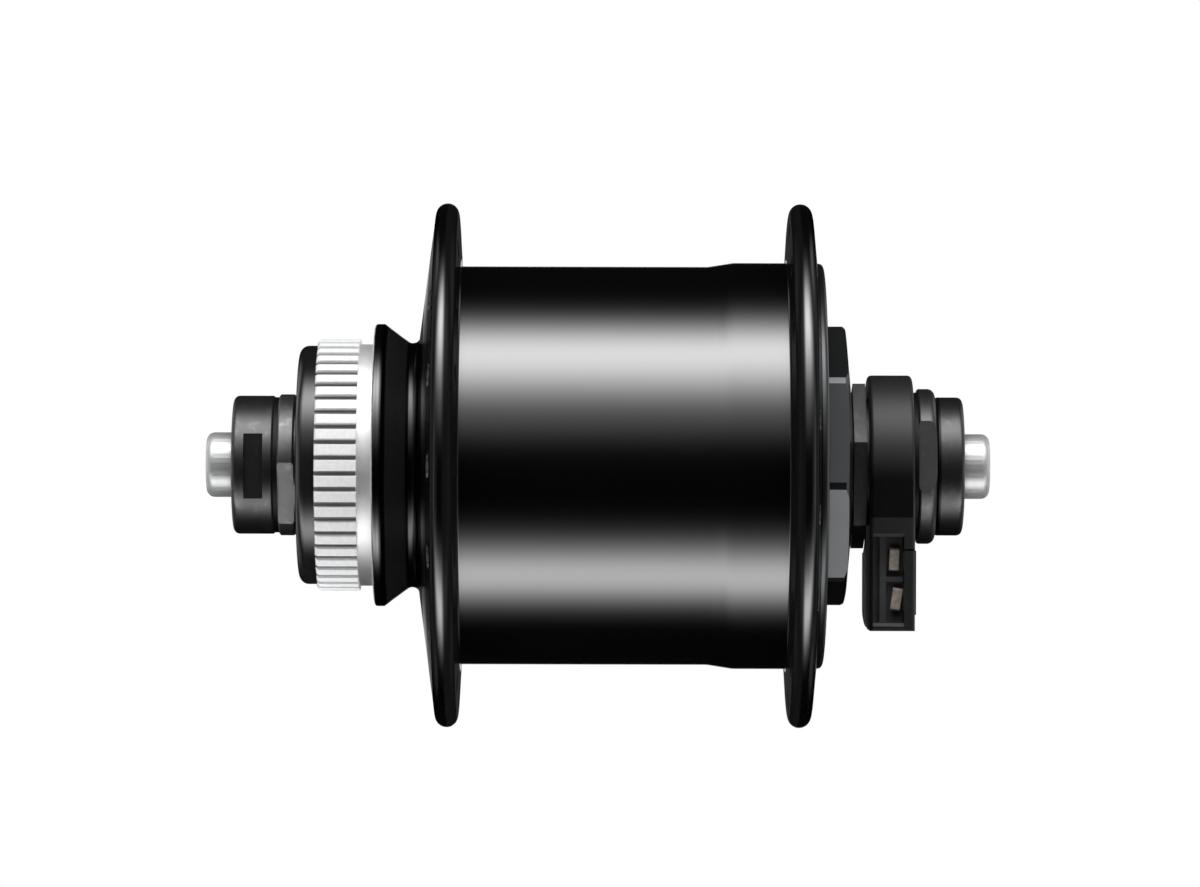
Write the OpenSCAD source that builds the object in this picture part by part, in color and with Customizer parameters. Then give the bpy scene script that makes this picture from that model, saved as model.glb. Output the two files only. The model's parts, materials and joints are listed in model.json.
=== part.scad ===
// Front hub dynamo for a spoked bicycle wheel with a splined brake disc.
// The axle lies along Y, the brake disc side is +Y, and the cable connector side is -Y.
// The origin is on the axle, midway between the two faces that the fork clamps.

/* [Axle] */
// Distance between the outer faces of the two locknuts, which the fork clamps
over_locknut = 100; // [97:0.5:135]
// Full length of the hollow axle
axle_length = 107.5; // [104:0.5:145]
// Diameter of the threaded middle of the axle
axle_d = 10; // [9.6:0.1:10.6]
// Diameter of the bare axle ends that sit in the fork
axle_end_d = 8.9; // [8:0.1:9.4]
// Bore for the quick release skewer
skewer_bore_d = 5.2; // [4.6:0.1:5.6]
// Rounding of the axle ends
axle_end_round = 1.1; // [0.3:0.1:1.4]

/* [Shell] */
// Diameter of the drum between the flanges
shell_d = 54.7; // [53:0.1:57]
// Rise of the drum beside the connector side flange
step_rise = 0.55; // [0.2:0.05:1.2]
// Distance of the step from the hub's middle
step_start = 15; // [5:0.5:20]
// Length of the slope at the step
step_slope = 3.5; // [1:0.1:6]
// Wall of the drum
shell_wall = 2.05; // [1.6:0.05:2.6]

/* [Flanges] */
// Diameter of both spoke flanges
flange_d = 72; // [69:0.5:80]
// Thickness of a flange near its rim
flange_rim_t = 3.1; // [2.8:0.1:4]
// Distance of the disc side flange from the hub's middle
disc_flange_offset = 20.7; // [19.5:0.05:22]
// Distance of the connector side flange from the hub's middle
wire_flange_offset = 27.7; // [27:0.05:28.8]
// Number of spoke holes in each flange
spoke_holes = 16; // [12:1:20]
// Diameter of a spoke hole
spoke_hole_d = 2.6; // [2.2:0.1:3]
// Distance of the spoke holes' middles from the rim of the disc side flange
disc_spoke_inset = 4.2; // [3.4:0.1:5]
// Distance of the spoke holes' middles from the rim of the connector side flange
wire_spoke_inset = 3.5; // [3.4:0.1:5]
// Depth of the bevel at each end of a spoke hole
spoke_bevel = 0.4; // [0.2:0.05:0.6]

/* [Brake disc mount] */
// Diameter over the tips of the spline
spline_tip_d = 34.6; // [34.4:0.1:35.6]
// Number of grooves round the spline
spline_grooves = 50; // [40:1:60]
// Width of a spline groove between the tips
groove_w = 0.9; // [0.6:0.05:1]
// Width of a spline groove at its floor
groove_floor_w = 0.35; // [0.2:0.05:0.5]
// Depth of a spline groove
groove_depth = 0.65; // [0.4:0.05:0.65]
// Length of the spline
spline_len = 5.75; // [5:0.05:6.6]
// Diameter of the plain nose in front of the spline
nose_d = 32.8; // [32:0.1:33.2]
// Length of the plain nose
nose_len = 2.55; // [1.8:0.05:2.8]
// Rounding of the nose
nose_round = 1.3; // [0.4:0.1:1.4]
// Length of the plain land behind the spline
relief_len = 2.05; // [1.8:0.05:2.8]
// Diameter of the plain land behind the spline
relief_d = 33.2; // [32.6:0.1:33.2]
// Diameter of the collar that stops the disc
collar_d = 38.8; // [37.5:0.1:41]
// Length of the collar's full diameter
collar_land = 1.3; // [0.8:0.1:2]
// Length of the collar's back slope
collar_slope = 3.5; // [2.5:0.1:4.5]
// Diameter of the neck between collar and flange
neck_d = 33.6; // [32.5:0.1:35]
// Length of the neck
neck_len = 1.35; // [1.3:0.05:2.2]
// Bore of the thread that takes the disc's lockring
mouth_d = 29; // [28.2:0.1:29.6]

/* [Connector side cover] */
// Overhang of the screwed cover's rim past the drum
cover_overhang = 0.5; // [0.1:0.05:1]
// Thickness of the cover at its rim
cover_rim_t = 0.9; // [0.8:0.1:1.4]
// Width across the flats of the cover's octagon
octagon_flats = 36; // [35:0.5:39]
// Height of the octagon's sides
octagon_h = 2.6; // [2.2:0.1:3.4]
// Height of the low cone on the octagon
octagon_crown = 0.7; // [0.3:0.05:0.9]
// Length of the cover's screwed spigot
spigot_len = 11.5; // [10:0.5:13]
// Wall of the cover's spigot
spigot_wall = 2.6; // [2:0.1:3]

/* [Bearings] */
// Diameter of the bearing balls
ball_d = 4.7625; // [4.4:0.0625:4.9]
// Outside diameter of the disc side cup and of the connector side bearing
bearing_d = 26; // [25.6:0.1:26.4]
// Width of the connector side bearing
bearing_w = 8; // [7.6:0.1:8.4]
// Diameter of the circle of ball centres
ball_circle_d = 18.4; // [18.2:0.1:18.6]
// Number of balls in each bearing
ball_count = 9; // [7:1:10]
// Length of the cup
cup_len = 6.1; // [5.8:0.1:6.3]

/* [Generator] */
// Number of magnetic poles
poles = 28; // [20:2:32]
// Length of the iron ring behind the magnets
yoke_len = 27; // [24:0.5:28]
// Thickness of the iron ring
yoke_t = 1.95; // [1.5:0.05:2.3]
// Thickness of a magnet
magnet_t = 2.4; // [1.8:0.1:2.8]
// Number of magnet segments
magnet_segments = 4; // [2:1:8]
// Running gap between magnets and claws
air_gap = 0.4; // [0.3:0.05:0.6]
// Thickness of a claw
claw_t = 2; // [1.5:0.1:2.4]
// Angle that one claw covers
claw_angle = 8.6; // [6:0.1:9]
// Thickness of the claw discs
claw_disc_t = 2.5; // [2:0.1:3]
// Outside diameter of the iron core on the axle
core_d = 16.2; // [15:0.1:17]
// Wall of the coil bobbin
bobbin_wall = 1; // [0.8:0.1:1.4]
// Width across the flats of the two stator nuts
stator_nut_flats = 17; // [15:0.5:18]
// Thickness of the stator nuts
stator_nut_t = 4; // [3:0.5:5]

/* [Axle nuts] */
// Diameter of both locknuts
locknut_d = 19; // [18.4:0.1:19.6]
// Diameter of the wrench collar on the disc side cone
cone_collar_d = 19.4; // [18.6:0.1:20]
// Thickness of the wrench collar on the disc side cone
cone_collar_t = 2.2; // [2:0.1:3]
// Width across the flats of the disc side cone
cone_flats = 17; // [16.4:0.1:17.8]
// Width across the wrench slots of the disc side locknut
lock_slot_flats = 16.8; // [16.2:0.1:17.6]
// Width of a wrench slot along the axle
lock_slot_w = 2.6; // [2:0.1:3]
// Distance of the wrench slots from the fork face
lock_slot_place = 3; // [2.4:0.1:3.4]
// Thickness of the disc side washer
disc_washer_t = 0.6; // [0.4:0.1:1]
// Diameter of the connector side round nut
round_nut_d = 21.3; // [20.6:0.1:22]
// Width across the two flats of the round nut
round_nut_flats = 19; // [18.4:0.1:19.6]
// Thickness of the round nut
round_nut_t = 2.5; // [2:0.1:3]
// Thickness of the connector side washer
wire_washer_t = 0.65; // [0.4:0.05:0.9]
// Width across the flats of the hexagon beside the cover
hex_flats = 20.2; // [19:0.1:20.6]
// Thickness of the hexagon beside the cover
hex_t = 1.75; // [1.4:0.05:2.4]
// Height of the round shoulder between the hexagon and the connector
hex_shoulder = 0.35; // [0.2:0.05:0.6]

/* [Connector] */
// Diameter of the connector's ring
connector_d = 25; // [24:0.1:27]
// Width of the connector's ring along the axle
connector_w = 6.1; // [5.8:0.05:6.8]
// Distance from the axle to the lower end of the connector block
block_drop = 22.3; // [22:0.1:24]
// Distance from the axle to the front face of the connector block
block_front = 12.5; // [12:0.1:13]
// Thickness of the connector block from front to back
block_depth = 13.5; // [13:0.1:15]
// Swell of the block's inner side towards the hub
block_swell = 0.55; // [0.3:0.05:1]
// Width of the plug recess along the axle
recess_w = 4.25; // [4.2:0.05:4.4]
// Distance of the recess from the connector's middle, towards the hub
recess_shift = 0.55; // [0.4:0.05:0.65]
// Height of the plug recess
recess_h = 11.7; // [11.4:0.1:12.2]
// Depth of the plug recess
recess_depth = 5.6; // [5.4:0.1:6]
// Wall below the plug recess
recess_sill = 1.1; // [0.9:0.1:1.5]
// Width of a contact strip
contact_w = 1.3; // [1.2:0.1:1.4]
// Height of a contact strip
contact_h = 3.1; // [2.4:0.1:3.4]
// Distance between the middles of the two contact strips
contact_pitch = 5.5; // [5:0.1:5.8]
// Distance of the upper contact from the connector's middle, away from the hub
contact_shift = 0.4; // [0.2:0.05:0.4]
// Distance of the lower contact beyond the upper one, away from the hub
contact_step = 0.3; // [0.2:0.05:0.3]
// Thickness of the contact metal
contact_t = 0.4; // [0.3:0.05:0.5]
// Height of the raised pad on the block's outer side
pad_rise = 0.15; // [0.1:0.05:0.35]
// Diameter of a coil lead
lead_d = 1; // [0.8:0.05:1.1]

/* [Hidden] */
$fn = 96;

// Clearances: pieces that stay together, pieces that turn past each other, and balls in their races
fit = 0.05;
run_gap = 0.3;
ball_gap = 0.1;
// Small bevels and roundings
edge = 0.4;
nut_round = 0.8;
ring_round = 0.6;
// Overshoot of cutting shapes
over = 1;

// Places along the axle on the disc side, outwards from the flange
flange_flare = 0.4;
neck_flare = 2.2;
neck_start = disc_flange_offset + flange_rim_t / 2 + neck_flare;
collar_start = neck_start + neck_len;
stop_face = collar_start + collar_slope + collar_land;
spline_start = stop_face + relief_len;
nose_start = spline_start + spline_len;
boss_end = nose_start + nose_len;
cone_collar_start = boss_end + 0.55;
disc_washer_start = cone_collar_start + cone_collar_t;
disc_locknut_start = disc_washer_start + disc_washer_t;
lock_face = over_locknut / 2;

// Places along the axle on the connector side, all counted away from the middle
wire_flare = 0.7;
shell_end = wire_flange_offset + flange_rim_t / 2 + wire_flare;
o_ring_place = shell_end - 1.7;
cover_dome = 0.4;
octagon_start = shell_end + cover_rim_t + cover_dome;
octagon_end = octagon_start + octagon_h;
cover_face = octagon_end + octagon_crown;
seat_lip = 1.3;
bearing_out = cover_face - seat_lip;
bearing_in = bearing_out - bearing_w;
hex_start = cover_face + run_gap;
hex_corner_r = hex_flats / 2 / cos(30);
connector_start = hex_start + hex_t + hex_shoulder;
wire_washer_start = connector_start + connector_w;
round_nut_start = wire_washer_start + wire_washer_t;
wire_locknut_start = round_nut_start + round_nut_t;

// Radii, from the drum inwards
shell_r = shell_d / 2;
bore_r = shell_r - shell_wall;
step_r = shell_r + step_rise;
cover_r = shell_r + cover_overhang;
yoke_r = bore_r - fit;
magnet_r = yoke_r - yoke_t - fit;
claw_r = magnet_r - magnet_t - air_gap;
claw_in_r = claw_r - claw_t;
claw_disc_r = claw_in_r - 0.4;
core_r = core_d / 2;
bobbin_in_r = core_r + fit;
bobbin_tube_r = bobbin_in_r + bobbin_wall;
bobbin_r = claw_disc_r - 0.2;
winding_r = bobbin_r - 0.5;
axle_r = axle_d / 2;
axle_bore_r = axle_r + fit;

// Places of the generator along the axle, towards the disc side
yoke_wire_end = -(shell_end - spigot_len) + fit;
yoke_stop = yoke_wire_end + yoke_len + fit;
stator_middle = yoke_wire_end + yoke_len / 2;
stator_end_gap = 0.35;
stator_len = yoke_len - 2 * stator_end_gap;
stator_disc_end = stator_middle + stator_len / 2;
stator_wire_end = stator_middle - stator_len / 2;

// The bearings
ball_r = ball_d / 2;
race_r = ball_r + ball_gap;
ball_circle_r = ball_circle_d / 2;
bearing_r = bearing_d / 2;
cup_floor = neck_start + 1.3;
cup_open_r = ball_circle_r + 1.9;
disc_ball_place = cup_floor + 4.4;
wire_ball_place = -(bearing_in + bearing_out) / 2;
race_shoulder = 1.65;
inner_race_r = ball_circle_r - race_shoulder;
outer_race_r = ball_circle_r + race_shoulder;
cage_back = 3.05;
dust_cap_t = 1.4;
dust_cap_start = disc_ball_place + cage_back + run_gap;
mouth_floor = dust_cap_start + dust_cap_t;
cone_body_r = 8.6;
cone_shoulder_r = ball_circle_r - 0.3;

// Turns of the flats and grooves about the axle, 0 facing -X and positive turning towards -Z
cone_turn = 27;
locknut_turn = 1;
round_nut_turn = -9;
hex_turn = 13.5;
octagon_turn = -14.7;
spline_turn = 3.7;

// The coil leads, in their groove in the axle
lead_groove_w = 2 * lead_d + 0.4;
lead_groove_floor = axle_r - lead_d - 0.25;
lead_r = lead_d / 2;
lead_line = lead_groove_floor + lead_r + 0.05;
lead_gap = lead_r + 0.05;
lead_bend = 1.2;
lead_entry = stator_middle - 6;

// The connector block and its recess
recess_top = block_drop - recess_sill - recess_h;
recess_floor = -block_front + recess_depth;
connector_middle = -(connector_start + connector_w / 2);
recess_from = connector_middle + recess_shift - recess_w / 2;
contact_line = connector_middle - contact_shift;
contact_middle = recess_top + recess_h / 2;
upper_middle = contact_middle - contact_pitch / 2;
lower_middle = contact_middle + contact_pitch / 2;
upper_lean = 2;
lower_lean = 8;
pad_top = 11.4;
pad_end = 20.1;
contact_rise = 1.3;
foot_h = 1.2;
tail_w = 0.5;
tail_gap = 0.4;
tail_floor = recess_floor + 0.6;
tail_top = axle_r + 2.2;

function arc(centre, r, from, to, n = 8) =
    [for (i = [0:n]) let (t = from + (to - from) * i / n) centre + r * [cos(t), sin(t)]];

// The angle, about the axle, of a direction that is turned down from -X
function facing(turn) = 180 - turn;

// Stands what is modelled along Z on the axle, with local Y pointing down
module along_axle() { rotate([-90, 0, 0]) children(); }

module ring(r_out, r_in, from, to) {
    rotate_extrude() translate([r_in, from]) square([r_out - r_in, to - from]);
}

module rounded_ring(r_out, r_in, from, to, round_from, round_to) {
    rotate_extrude() polygon(concat(
        [[r_in, from]],
        arc([r_out - round_from, from + round_from], round_from, -90, 0),
        arc([r_out - round_to, to - round_to], round_to, 0, 90),
        [[r_in, to]]
    ));
}

// Two flats at a width, cut off what is turned about the axle
module two_flats(flats, turn, from, to) {
    reach = flats;
    rotate(facing(turn)) for (side = [-1, 1])
        translate([side * (flats + reach) / 2, 0, (from + to) / 2])
            cube([reach, 2 * reach, to - from], center = true);
}

// Radial bite marks on a locknut's clamping face
module bite_marks(face) {
    marks = 32;
    mark_w = 0.45;
    mark_depth = 0.35;
    mark_end = locknut_d / 2 - 1.3;
    for (i = [0:marks - 1])
        rotate(i * 360 / marks) translate([0, -mark_w / 2, face - mark_depth])
            cube([mark_end, mark_w, 2 * mark_depth]);
}

// Everything that turns

function flange_rim(place, side) =
    arc([flange_d / 2 - flange_rim_t / 2, place], flange_rim_t / 2, side * 90, -side * 90, 24);

module spoke_hole_set(place, inset, phase) {
    reach = flange_rim_t + 2 * over;
    face = flange_rim_t / 2 + 0.35;
    for (i = [0:spoke_holes - 1])
        rotate(phase + i * 360 / spoke_holes) translate([flange_d / 2 - inset, 0, place]) {
            cylinder(d = spoke_hole_d, h = reach, center = true);
            for (side = [0, 1]) mirror([0, 0, side]) translate([0, 0, face - spoke_bevel])
                cylinder(d1 = spoke_hole_d, d2 = spoke_hole_d + 4 * spoke_bevel, h = 2 * spoke_bevel);
        }
}

module spline_groove_set() {
    tip_r = spline_tip_d / 2;
    floor_half = groove_floor_w / 2;
    mouth_half = groove_w / 2;
    mouth_over = mouth_half + (mouth_half - floor_half) * over / groove_depth;
    for (i = [0:spline_grooves - 1])
        rotate(facing(spline_turn) + i * 360 / spline_grooves) translate([tip_r, 0, spline_start - over / 2])
            linear_extrude(spline_len + over) polygon([
                [-groove_depth, -floor_half], [over, -mouth_over],
                [over, mouth_over], [-groove_depth, floor_half]
            ]);
}

module hub_shell() {
    tip_r = spline_tip_d / 2;
    nose_r = nose_d / 2;
    collar_r = collar_d / 2;
    neck_r = neck_d / 2;
    mouth_r = mouth_d / 2;
    neck_fillet = 0.95;
    slope_fillet = 0.85;
    slope_angle = atan((collar_r - neck_r) / collar_slope);
    drum_fillet = 0.25;
    disc_corner = disc_flange_offset - flange_rim_t / 2 - flange_flare;
    wire_corner = -wire_flange_offset + flange_rim_t / 2 + flange_flare;
    inner_r = bore_r - 2.2;
    through_r = 10.6;
    end_wall = 3.4;
    color([0.06, 0.06, 0.065]) along_axle() difference() {
        rotate_extrude() polygon(concat(
            [[mouth_r + edge, boss_end]],
            arc([nose_r - nose_round, boss_end - nose_round], nose_round, 90, 0),
            [[nose_r, nose_start], [tip_r - edge, nose_start], [tip_r, nose_start - edge]],
            [[tip_r, spline_start], [relief_d / 2, spline_start], [relief_d / 2, stop_face]],
            arc([collar_r - edge, stop_face - edge], edge, 90, 0),
            [[collar_r, stop_face - collar_land]],
            arc(
                [neck_r + slope_fillet, collar_start - slope_fillet * tan(slope_angle / 2)], slope_fillet,
                180 - slope_angle, 180
            ),
            arc([neck_r + neck_fillet, neck_start + neck_fillet], neck_fillet, 180, 270),
            flange_rim(disc_flange_offset, 1),
            arc([shell_r + drum_fillet, disc_corner - drum_fillet], drum_fillet, 90, 180),
            [[shell_r, -step_start], [step_r, -step_start - step_slope]],
            arc([step_r + drum_fillet, wire_corner + drum_fillet], drum_fillet, 180, 270),
            flange_rim(-wire_flange_offset, 1),
            [[shell_r, -shell_end], [bore_r + edge, -shell_end], [bore_r, -shell_end + edge]],
            [[bore_r, yoke_stop], [inner_r, yoke_stop], [inner_r, disc_flange_offset - 5]],
            [[neck_r + 2, neck_start - end_wall], [through_r, neck_start - end_wall]],
            [[through_r, cup_floor], [bearing_r + fit, cup_floor], [bearing_r + fit, mouth_floor]],
            [[mouth_r, mouth_floor], [mouth_r, boss_end - edge]]
        ));
        spline_groove_set();
        spoke_hole_set(disc_flange_offset, disc_spoke_inset, 0);
        spoke_hole_set(-wire_flange_offset, wire_spoke_inset, 180 / spoke_holes);
    }
}

module side_cover() {
    rim_round = 0.7;
    corner_r = octagon_flats / 2 / cos(22.5) - 0.2;
    hub_wall = 3.2;
    hub_r = bearing_r + fit + hub_wall;
    disc_in = shell_end - 1.6;
    spigot_r = bore_r - fit;
    lip_r = inner_race_r + 3.4;
    o_ring_groove_w = 1.3;
    color([0.09, 0.09, 0.095]) along_axle() mirror([0, 0, 1]) difference() {
        union() {
            rotate_extrude() polygon(concat(
                [[0, disc_in], [spigot_r - edge, disc_in]],
                [[spigot_r - edge, shell_end], [cover_r, shell_end]],
                arc([cover_r - rim_round, shell_end + cover_rim_t - rim_round], rim_round, 0, 90),
                [[corner_r - over, octagon_start], [0, octagon_start]]
            ));
            ring(spigot_r, spigot_r - spigot_wall, shell_end - spigot_len, shell_end);
            ring(hub_r, bearing_r, bearing_in, shell_end);
            intersection() {
                rotate(facing(octagon_turn) + 22.5) translate([0, 0, disc_in])
                    cylinder(r = octagon_flats / 2 / cos(22.5), h = cover_face - disc_in, $fn = 8);
                rotate_extrude() polygon([
                    [0, disc_in], [corner_r, disc_in],
                    [corner_r, octagon_end - edge], [corner_r - edge, octagon_end],
                    [hex_flats / 2 + 1.5, cover_face], [0, cover_face]
                ]);
            }
        }
        translate([0, 0, bearing_in - over]) cylinder(r = bearing_r + fit, h = bearing_w + over);
        translate([0, 0, bearing_out - over]) cylinder(r = lip_r, h = seat_lip + 2 * over);
        translate([0, 0, o_ring_place - o_ring_groove_w / 2])
            ring(spigot_r + over, spigot_r - 0.95, 0, o_ring_groove_w);
    }
}

module cover_o_ring() {
    section_r = 0.45;
    color([0.12, 0.12, 0.12]) along_axle()
        rotate_extrude() translate([bore_r - fit - section_r, -o_ring_place]) circle(r = section_r, $fn = 32);
}

module iron_ring() {
    color([0.45, 0.45, 0.47]) along_axle()
        ring(yoke_r, yoke_r - yoke_t, yoke_wire_end, yoke_wire_end + yoke_len);
}

module magnets() {
    joint = 1.2;
    arc_angle = 360 / magnet_segments - joint;
    magnet_len = yoke_len - 1;
    color([0.2, 0.2, 0.22]) along_axle()
        for (i = [0:magnet_segments - 1])
            rotate(i * 360 / magnet_segments) rotate_extrude(angle = arc_angle)
                translate([magnet_r - magnet_t, stator_middle - magnet_len / 2])
                    square([magnet_t, magnet_len]);
}

module disc_side_cup() {
    color([0.7, 0.7, 0.72]) along_axle() rotate_extrude() difference() {
        polygon([
            [ball_circle_r - 2, cup_floor], [bearing_r - edge, cup_floor], [bearing_r, cup_floor + edge],
            [bearing_r, cup_floor + cup_len], [cup_open_r, cup_floor + cup_len],
            [cup_open_r, disc_ball_place], [ball_circle_r - 2, disc_ball_place]
        ]);
        translate([ball_circle_r, disc_ball_place]) circle(r = race_r);
    }
}

module disc_side_dust_cap() {
    color([0.1, 0.1, 0.1]) along_axle()
        ring(bearing_r, cone_shoulder_r + run_gap + 0.1, dust_cap_start, dust_cap_start + dust_cap_t);
}

module wire_side_outer_race() {
    color([0.72, 0.72, 0.74]) along_axle() rotate_extrude() difference() {
        polygon([
            [outer_race_r, -bearing_out], [bearing_r - edge, -bearing_out], [bearing_r, -bearing_out + edge],
            [bearing_r, -bearing_in - edge], [bearing_r - edge, -bearing_in], [outer_race_r, -bearing_in]
        ]);
        translate([ball_circle_r, wire_ball_place]) circle(r = race_r);
    }
}

module wire_side_shields() {
    shield_t = 0.4;
    inset = 0.2;
    color([0.15, 0.15, 0.15]) along_axle()
        for (from = [-bearing_out + inset, -bearing_in - inset - shield_t])
            ring(outer_race_r - fit, inner_race_r + run_gap, from, from + shield_t);
}

module wire_side_seal() {
    seal_t = seat_lip - 0.2;
    color([0.13, 0.13, 0.13]) along_axle()
        ring(inner_race_r + 3.4 - fit, inner_race_r + run_gap, -bearing_out - seal_t, -bearing_out - 0.1);
}

// The balls and their cages

module ball_set(place) {
    for (i = [0:ball_count - 1])
        rotate(i * 360 / ball_count) translate([ball_circle_r, 0, place]) sphere(r = ball_r);
}

// A crown cage: a ring beside the balls, with fingers that reach between them
module ball_cage(r_out, r_in, place, front) {
    difference() {
        ring(r_out, r_in, place + front, place + cage_back);
        for (i = [0:ball_count - 1])
            rotate(i * 360 / ball_count) translate([ball_circle_r, 0, place]) sphere(r = race_r);
    }
}

module disc_side_balls() { color([0.85, 0.85, 0.87]) along_axle() ball_set(disc_ball_place); }

module disc_side_ball_cage() {
    color([0.75, 0.6, 0.3]) along_axle()
        ball_cage(cup_open_r - 0.4, cone_shoulder_r + 0.4, disc_ball_place, run_gap);
}

module wire_side_balls() { color([0.85, 0.85, 0.87]) along_axle() ball_set(wire_ball_place); }

module wire_side_ball_cage() {
    color([0.75, 0.6, 0.3]) along_axle()
        ball_cage(ball_circle_r + 0.5, ball_circle_r - 0.5, wire_ball_place, -1);
}

// Everything that stays still on the axle

module axle() {
    end = axle_length / 2;
    end_r = axle_end_d / 2;
    hole_r = skewer_bore_d / 2;
    color([0.8, 0.8, 0.82]) along_axle() difference() {
        rotate_extrude() polygon(concat(
            [[hole_r, -end]],
            arc([end_r - axle_end_round, -end + axle_end_round], axle_end_round, -90, 0),
            [[end_r, -lock_face], [axle_r, -lock_face], [axle_r, lock_face], [end_r, lock_face]],
            arc([end_r - axle_end_round, end - axle_end_round], axle_end_round, 0, 90),
            [[hole_r, end]]
        ));
        translate([-lead_groove_w / 2, lead_groove_floor, contact_line - 2])
            cube([lead_groove_w, axle_r, lead_entry - contact_line + 4]);
    }
}

module disc_side_cone() {
    inner_end = cup_floor + 1.5;
    collar_r = cone_collar_d / 2;
    collar_end = cone_collar_start + cone_collar_t;
    bevel = 0.2;
    color([0.2, 0.2, 0.21]) along_axle() difference() {
        rotate_extrude() difference() {
            polygon([
                [axle_bore_r, inner_end], [inner_race_r - 1, inner_end], [inner_race_r - 1, disc_ball_place],
                [cone_shoulder_r, disc_ball_place + 2.4], [cone_shoulder_r, mouth_floor + run_gap],
                [cone_body_r, mouth_floor + run_gap], [cone_body_r, cone_collar_start],
                [collar_r - bevel, cone_collar_start], [collar_r, cone_collar_start + bevel],
                [collar_r, collar_end - bevel], [collar_r - bevel, collar_end], [axle_bore_r, collar_end]
            ]);
            translate([ball_circle_r, disc_ball_place]) circle(r = race_r);
        }
        two_flats(cone_flats, cone_turn, cone_collar_start - over, collar_end + over);
    }
}

module disc_side_cone_seal() {
    seal_from = mouth_floor + run_gap;
    seal_t = 1.4;
    seal_r = 12.6;
    color([0.11, 0.11, 0.11]) along_axle() rotate_extrude() polygon([
        [cone_body_r + fit, seal_from], [seal_r - edge, seal_from], [seal_r, seal_from + edge],
        [seal_r, seal_from + seal_t / 2], [cone_body_r + 1.2, seal_from + seal_t],
        [cone_body_r + fit, seal_from + seal_t]
    ]);
}

module disc_side_washer() {
    color([0.3, 0.3, 0.31]) along_axle()
        ring(locknut_d / 2 - 0.2, axle_bore_r, disc_washer_start, disc_washer_start + disc_washer_t);
}

module disc_side_locknut() {
    slot_middle = lock_face - lock_slot_place;
    color([0.12, 0.12, 0.125]) along_axle() difference() {
        rounded_ring(locknut_d / 2, axle_bore_r, disc_locknut_start, lock_face, edge, nut_round);
        two_flats(
            lock_slot_flats, locknut_turn,
            slot_middle - lock_slot_w / 2, slot_middle + lock_slot_w / 2
        );
        bite_marks(lock_face);
    }
}

module stator_core() {
    color([0.5, 0.5, 0.52]) along_axle() difference() {
        ring(core_r, axle_bore_r, stator_wire_end, stator_disc_end);
        translate([-lead_groove_w / 2, 0, lead_entry - lead_groove_w / 2])
            cube([lead_groove_w, core_d, lead_groove_w]);
    }
}

// One disc with half of the claws, its outer face at 0 and its claws pointing along +Z
module claw_yoke(phase) {
    claws = poles / 2;
    root = 1.5;
    tip = stator_len - 0.8;
    ring(claw_disc_r, core_r + fit, 0, claw_disc_t);
    for (i = [0:claws - 1])
        rotate(phase + i * 360 / claws - claw_angle / 2) rotate_extrude(angle = claw_angle) polygon([
            [claw_disc_r - root, 0], [claw_r - edge, 0], [claw_r, edge], [claw_r, tip],
            [claw_in_r, tip], [claw_in_r, claw_disc_t], [claw_disc_r - root, claw_disc_t]
        ]);
}

module disc_side_claw_yoke() {
    color([0.55, 0.55, 0.57]) along_axle() translate([0, 0, stator_disc_end]) mirror([0, 0, 1]) claw_yoke(0);
}

module wire_side_claw_yoke() {
    color([0.55, 0.55, 0.57]) along_axle() translate([0, 0, stator_wire_end]) claw_yoke(360 / poles);
}

module coil_bobbin() {
    from = stator_wire_end + claw_disc_t + fit;
    to = stator_disc_end - claw_disc_t - fit;
    color([0.85, 0.82, 0.7]) along_axle() difference() {
        rotate_extrude() polygon([
            [bobbin_in_r, from], [bobbin_r, from], [bobbin_r, from + bobbin_wall],
            [bobbin_tube_r, from + bobbin_wall], [bobbin_tube_r, to - bobbin_wall],
            [bobbin_r, to - bobbin_wall], [bobbin_r, to], [bobbin_in_r, to]
        ]);
        translate([-lead_groove_w / 2, 0, lead_entry - lead_groove_w / 2])
            cube([lead_groove_w, bobbin_tube_r + fit, lead_groove_w]);
    }
}

module coil_winding() {
    from = stator_wire_end + claw_disc_t + bobbin_wall + 2 * fit;
    to = stator_disc_end - claw_disc_t - bobbin_wall - 2 * fit;
    color([0.72, 0.4, 0.2]) along_axle() rounded_ring(winding_r, bobbin_tube_r + fit, from, to, edge, edge);
}

module stator_nut(from) {
    translate([0, 0, from]) difference() {
        cylinder(r = stator_nut_flats / 2 / cos(30), h = stator_nut_t, $fn = 6);
        translate([0, 0, -over]) cylinder(r = axle_bore_r, h = stator_nut_t + 2 * over);
    }
}

module disc_side_stator_nut() { color([0.6, 0.6, 0.62]) along_axle() stator_nut(stator_disc_end); }

module wire_side_stator_nut() {
    color([0.6, 0.6, 0.62]) along_axle() stator_nut(stator_wire_end - stator_nut_t);
}

module bearing_spacer() {
    color([0.6, 0.6, 0.62]) along_axle()
        ring(inner_race_r - 0.3, axle_bore_r, -bearing_in, stator_wire_end - stator_nut_t);
}

module wire_side_inner_race() {
    color([0.72, 0.72, 0.74]) along_axle() rotate_extrude() difference() {
        translate([axle_bore_r, -bearing_out]) square([inner_race_r - axle_bore_r, bearing_w]);
        translate([ball_circle_r, wire_ball_place]) circle(r = race_r);
    }
}

module hex_nut() {
    shoulder_r = hex_flats / 2 - 0.8;
    color([0.16, 0.16, 0.165]) along_axle() mirror([0, 0, 1]) difference() {
        union() {
            translate([0, 0, bearing_out])
                cylinder(r = inner_race_r - 0.1, h = hex_start + edge - bearing_out);
            rotate(facing(hex_turn) + 30) translate([0, 0, hex_start])
                cylinder(r = hex_corner_r, h = hex_t, $fn = 6);
            translate([0, 0, hex_start]) cylinder(r = shoulder_r, h = hex_t + hex_shoulder);
        }
        translate([0, 0, bearing_out - over])
            cylinder(r = axle_bore_r, h = connector_start - bearing_out + 2 * over);
    }
}

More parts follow.
